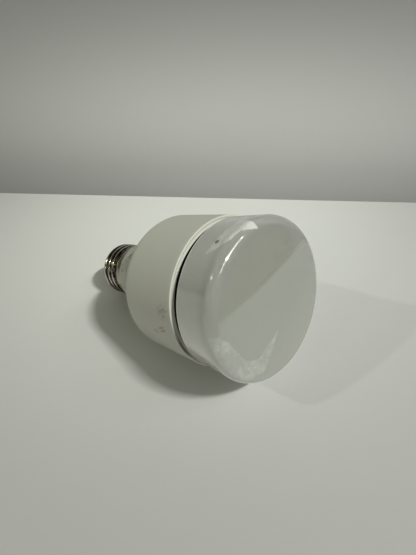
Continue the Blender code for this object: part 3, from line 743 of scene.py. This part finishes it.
def make_diffuser():
    """The opal cover. Distances to the edges of its torn film are stored on its points."""
    edge = 0.25  # radius of the rear edge
    outside = [(26.3, DIFFUSER_REAR)]
    outside += arc((DIFFUSER_REAR_RADIUS - edge, DIFFUSER_REAR + edge), edge, -90, 0, 5)
    start = (DIFFUSER_REAR_RADIUS, DIFFUSER_REAR + 2 * edge)
    outside += line(start, (DIFFUSER_FRONT_RADIUS, CORNER_STATION), 34)
    outside += crown(CORNER_RADIUS, 20, 62)
    inside = crown(CORNER_RADIUS - WALL, 6, 10)[::-1]
    inside += [(DIFFUSER_REAR_RADIUS - WALL, DIFFUSER_REAR + WALL), (24.9, DIFFUSER_REAR + WALL)]
    inside += [(24.9, 84.4), (26.5, 84.4), (27.0, 84.8), (27.0, 85.15), (26.3, 85.45)]
    diffuser = spun("fine_diffuser", outside + inside, 384)
    stand_for(diffuser, "diffuser", diffuser_finish())

    count = len(diffuser.data.vertices)
    places = np.empty(count * 3)
    diffuser.data.vertices.foreach_get("co", places)
    places = places.reshape(-1, 3) / MM
    radius = np.hypot(places[:, 0], places[:, 1])
    angle = np.degrees(np.arctan2(places[:, 1], places[:, 0])) % 360
    # How far along the surface a point lies from the middle of the face.
    profile = np.array(outside)
    travelled = np.concatenate([[0.0], np.cumsum(np.hypot(*np.diff(profile, axis=0).T))])
    travelled = travelled[-1] - travelled
    outlined = np.round(np.stack([radius, places[:, 2]], axis=1), 3)
    rows, row_of_point = np.unique(outlined, axis=0, return_inverse=True)
    nearest = np.array([np.argmin(np.hypot(*(profile - row).T)) for row in rows])
    reach = travelled[nearest[row_of_point.reshape(-1)]]
    put_attribute(diffuser, "film_upper", band_depth(angle, reach, UPPER_FILM))
    lower = band_depth(angle, reach, LOWER_FILM)
    x, y = reach * np.cos(np.radians(angle)), reach * np.sin(np.radians(angle))
    put_attribute(diffuser, "film_lower", np.maximum(lower, strip_depth(x, y, *LOWER_FILM_TAIL)))
    near_end = 1 - np.clip((angle - UPPER_FILM[0][0]) / FILM_BRIGHT_SPAN, 0, 1)
    low_down = np.clip((FILM_BRIGHT_REACH - reach) / 2.0, 0, 1)
    put_attribute(diffuser, "film_bright", near_end * low_down)


def band_depth(angle, reach, stations):
    """Distance in from the edge of a band whose inner and outer reach are given at a few angles."""
    angles, inner, outer = np.array(stations, float).T
    low, high = np.interp(angle, angles, inner), np.interp(angle, angles, outer)
    across = np.minimum(reach - low, high - reach)
    along = np.minimum(angle - angles[0], angles[-1] - angle) * math.radians(1) * FILM_RADIUS
    return np.minimum(across, along)


def strip_depth(x, y, first, last, first_width, last_width):
    """Distance in from the edge of a tapered strip between two places on the unrolled face."""
    dx, dy = last[0] - first[0], last[1] - first[1]
    along = np.clip(((x - first[0]) * dx + (y - first[1]) * dy) / (dx * dx + dy * dy), 0, 1)
    away = np.hypot(x - first[0] - along * dx, y - first[1] - along * dy)
    return first_width + (last_width - first_width) * along - away


# ---------------------------------------- finishes of the inner nodes


def inner_finish(name, dark, light, size, roughness, metallic=0.0, depth=0.02, lines=None):
    """Two close tones, grain and fine marks. lines is the (direction, spacing) of a winding."""
    f = Finish(name, metallic=metallic)
    tone = f.noise(size, detail=5.0)
    colour = f.blend(tone, dark, light)
    if lines:
        direction, spacing = lines
        along = f.vector("DOT_PRODUCT", f.place, direction)
        turn = f.math("PINGPONG", along, spacing / 2)
        ridge = f.step(turn, 0.0, spacing / 2)
        colour = f.blend(f.math("MULTIPLY", ridge, 0.7), tuple(0.45 * c for c in dark), colour)
        f.bump(ridge, spacing * 0.25)
    marks = f.step(f.noise(size * 0.35, detail=4.0), 0.62, 0.76)
    f.colour(f.blend(f.math("MULTIPLY", marks, 0.3), colour, tuple(0.5 * c for c in dark)))
    f.rough(f.between(f.noise(size * 0.6, detail=4.0), roughness * 0.75, min(1.0, roughness * 1.3)))
    f.bump(f.noise(size * 0.12, detail=3.0), depth)
    f.bump(f.scratches(size * 3, 0.006, (1.0, 0.6, 0.8)), depth * 0.5)
    return f.material


def board_finish(name, mask_dark, mask_light, trace):
    """Solder mask over copper tracks, with tinned pads and via dots."""
    f = Finish(name, roughness=0.35)
    tone = f.noise(4.0, detail=3.0)
    x, _, z = f.split()
    lanes = []
    for coordinate, other, patch, limits in ((x, z, 7.0, (0.45, 0.5)), (z, x, 9.0, (0.55, 0.6))):
        jog = f.math("SNAP", f.math("DIVIDE", other, 6.0), 1.0)
        shifted = f.math("ADD", coordinate, f.math("MULTIPLY", jog, 1.3))
        lane = f.step(f.math("PINGPONG", shifted, 1.1), 0.75, 0.85)
        where = f.step(f.noise(patch, detail=0.0), *limits)
        lanes.append(f.math("MULTIPLY", lane, where))
    tracks = f.math("MAXIMUM", *lanes)
    vias = f.step(f.cells(2.6), 0.16, 0.12)
    colour = f.blend(tone, mask_dark, mask_light)
    colour = f.blend(f.math("MULTIPLY", tracks, 0.6), colour, trace)
    f.colour(f.blend(vias, colour, (0.62, 0.60, 0.55)))
    f.rough(f.between(tone, 0.25, 0.45))
    f.bump(tracks, 0.035)
    f.bump(f.noise(0.5, detail=2.0), 0.006)
    return f.material


def inner_finishes():
    """Material slot name to finish, for the nodes inside the shells."""
    return {
        "red_wire": inner_finish("wire_red", (0.38, 0.02, 0.015), (0.55, 0.04, 0.03), 1.5, 0.45),
        "black_wire": inner_finish(
            "wire_black", (0.012, 0.012, 0.012), (0.035, 0.035, 0.035), 1.5, 0.5
        ),
        "aluminium": inner_finish(
            "pressed_aluminium", (0.62, 0.62, 0.63), (0.78, 0.78, 0.79), 4.0, 0.35, 1.0, 0.02
        ),
        "grey_pad": inner_finish(
            "silicone_pad", (0.27, 0.28, 0.30), (0.38, 0.39, 0.41), 2.0, 0.75, 0.0, 0.06
        ),
        "board_white": board_finish(
            "led_board_mask", (0.74, 0.74, 0.72), (0.80, 0.80, 0.78), (0.68, 0.67, 0.60)
        ),
        "phosphor": inner_finish(
            "led_phosphor", (0.80, 0.58, 0.06), (0.92, 0.74, 0.16), 0.5, 0.35, 0.0, 0.02
        ),
        "led_white": inner_finish(
            "moulded_white", (0.70, 0.70, 0.68), (0.80, 0.80, 0.78), 1.2, 0.4
        ),
        "steel": inner_finish(
            "screw_steel", (0.48, 0.48, 0.49), (0.66, 0.66, 0.67), 1.0, 0.3, 1.0, 0.01
        ),
        "board_green": board_finish(
            "driver_mask", (0.015, 0.12, 0.045), (0.03, 0.18, 0.07), (0.05, 0.28, 0.11)
        ),
        "board_blue": board_finish(
            "radio_mask", (0.012, 0.035, 0.14), (0.02, 0.06, 0.22), (0.05, 0.12, 0.32)
        ),
        "black_plastic": inner_finish(
            "moulded_black", (0.014, 0.014, 0.014), (0.035, 0.035, 0.034), 1.2, 0.5
        ),
        "gold": inner_finish(
            "gold_plate", (0.74, 0.50, 0.17), (0.90, 0.68, 0.30), 0.8, 0.25, 1.0, 0.008
        ),
        "capacitor_sleeve": inner_finish(
            "capacitor_sleeve_film", (0.025, 0.03, 0.07), (0.05, 0.06, 0.12), 2.5, 0.3
        ),
        "ferrite": inner_finish(
            "ferrite_core", (0.035, 0.035, 0.035), (0.075, 0.072, 0.07), 0.9, 0.6, 0.0, 0.04
        ),
        "copper": inner_finish(
            "enamelled_copper", (0.50, 0.20, 0.08), (0.74, 0.36, 0.18), 1.5, 0.28, 1.0, 0.01,
            (ACROSS, 0.45),
        ),
        "copper_tape": inner_finish(
            "winding_tape", (0.62, 0.46, 0.05), (0.82, 0.66, 0.12), 2.0, 0.35, 0.0, 0.02,
            (ALONG, 3.2),
        ),
        "resistor_green": inner_finish(
            "resistor_paint", (0.13, 0.28, 0.21), (0.22, 0.40, 0.32), 0.9, 0.45
        ),
        "tin": contact_finish(),
    }


def finish_inner_nodes():
    """Each CAD node that still shows takes the finish of the slot its packed material names."""
    finishes = inner_finishes()
    for node in frame["nodes"].values():
        if node.hide_render:
            continue
        slot_name = node.data.materials[0].name.split(".")[0]
        node.data.materials.clear()
        node.data.materials.append(finishes[slot_name])


# ---------------------------------------- stage, light and camera


def make_stage():
    f = Finish("table_top", roughness=0.5)
    # painted pool of light on the table
    away = f.vector("DISTANCE", f.place, TABLE_LIGHT_POOL_CENTRE)
    painted_pool = f.blend(f.step(away, *TABLE_LIGHT_POOL_FADE), *TABLE_LIGHT_POOL_COLOURS)
    tone = f.noise(60.0, detail=3.0)
    painted_pool = f.blend(f.math("MULTIPLY", tone, 0.1), painted_pool, (0.50, 0.50, 0.49))
    speck = f.step(f.noise(0.9, detail=2.0), 0.78, 0.82)
    f.colour(f.blend(f.math("MULTIPLY", speck, 0.3), painted_pool, (0.35, 0.35, 0.32)))
    f.rough(f.between(f.noise(8.0, detail=3.0), 0.42, 0.55))
    f.bump(f.noise(1.1, detail=3.0), 0.02)
    far = Vector(TABLE_CORNER) + TABLE_EDGE * TABLE_LENGTH
    corners = [TABLE_CORNER, tuple(far), (TABLE_SIDE, far.y), (TABLE_SIDE, TABLE_FRONT)]
    slab("table", corners, -TABLE_THICKNESS, 0.0, f.material)

    f = Finish("wall_paint", roughness=0.8)
    _, _, height = f.split()
    sideways = f.vector("DOT_PRODUCT", f.place, (*-TABLE_EDGE, 0.0))
    sideways = f.math("SUBTRACT", sideways, WALL_LIGHT_POOL_CENTRE[0])
    height = f.math("SUBTRACT", height, WALL_LIGHT_POOL_CENTRE[1])
    far = f.math("POWER", f.math("DIVIDE", sideways, WALL_LIGHT_POOL_FADE[0]), 2.0)
    far = f.math("ADD", far, f.math("POWER", f.math("DIVIDE", height, WALL_LIGHT_POOL_FADE[1]), 2.0))
    # painted pool of light on the wall
    painted_pool = f.blend(f.step(f.math("SQRT", far), 0.1, 1.3), *WALL_LIGHT_POOL_COLOURS)
    f.colour(f.blend(f.math("MULTIPLY", f.noise(80.0, detail=3.0), 0.08), painted_pool, (0.4, 0.4, 0.4)))
    f.bump(f.noise(2.0, detail=3.0), 0.05)
    back = Vector((TABLE_EDGE.y, -TABLE_EDGE.x))  # away from the camera
    start = Vector(TABLE_CORNER) + back * WALL_GAP - TABLE_EDGE * WALL_OVERHANG
    end = start + TABLE_EDGE * WALL_LENGTH
    through = back * WALL_THICKNESS
    corners = [tuple(start), tuple(start + through), tuple(end + through), tuple(end)]
    slab("wall", corners, *WALL_HEIGHTS, f.material)


def slab(name, corners, low, high, material):
    count = len(corners)
    verts = [(x * MM, y * MM, z * MM) for z in (low, high) for x, y in corners]
    faces = [tuple(range(count))[::-1], tuple(range(count, 2 * count))]
    faces += [(k, (k + 1) % count, (k + 1) % count + count, k + count) for k in range(count)]
    mesh = bpy.data.meshes.new(name)
    mesh.from_pydata(verts, [], faces)
    mesh.materials.append(material)
    obj = bpy.data.objects.new(name, mesh)
    bpy.context.scene.collection.objects.link(obj)


def make_light(name, direction, distance, size, energy, tint):
    """A soft rectangle of light, at a distance from the aim along a direction, long side level."""
    lamp = bpy.data.lights.new(name, "AREA")
    lamp.shape = "RECTANGLE"
    lamp.size, lamp.size_y = (side * MM for side in size)
    lamp.energy = energy
    lamp.color = tint
    obj = bpy.data.objects.new(name, lamp)
    bpy.context.scene.collection.objects.link(obj)
    direction = Vector(direction).normalized()
    obj.location = (Vector(LIGHT_AIM) + direction * distance) * MM
    obj.rotation_mode = "QUATERNION"
    obj.rotation_quaternion = direction.to_track_quat("Z", "Y")


def make_world():
    world = bpy.data.worlds.new("room")
    world.use_nodes = True
    background = world.node_tree.nodes["Background"]
    background.inputs["Color"].default_value = (*SHADOW_TINT, 1.0)
    background.inputs["Strength"].default_value = ROOM_STRENGTH
    bpy.context.scene.world = world


def make_camera():
    """Looks down on the bulb from its left and front, close up with a short lens."""
    level = math.cos(CAMERA_PITCH)
    forward = Vector(
        (math.sin(CAMERA_YAW) * level, math.cos(CAMERA_YAW) * level, -math.sin(CAMERA_PITCH))
    )
    right = Vector((math.cos(CAMERA_YAW), -math.sin(CAMERA_YAW), 0.0))
    up = right.cross(forward)
    target = contact_place + axis * CAMERA_AIM_STATION * MM
    data = bpy.data.cameras.new("camera")
    data.sensor_width = CAMERA_SENSOR
    data.lens = CAMERA_LENS
    data.clip_start = 0.01
    data.clip_end = 50.0
    camera = bpy.data.objects.new("camera", data)
    away = right * CAMERA_LEFT - up * CAMERA_UP + forward * CAMERA_BACK
    camera.location = target - away * MM
    camera.rotation_mode = "QUATERNION"
    camera.rotation_quaternion = forward.to_track_quat("-Z", "Y")
    bpy.context.scene.collection.objects.link(camera)
    bpy.context.scene.camera = camera


make_outer_pieces()
finish_inner_nodes()
make_stage()
make_world()
for light in LIGHTS:
    make_light(*light)
make_camera()
bpy.context.scene.view_settings.view_transform = "Standard"
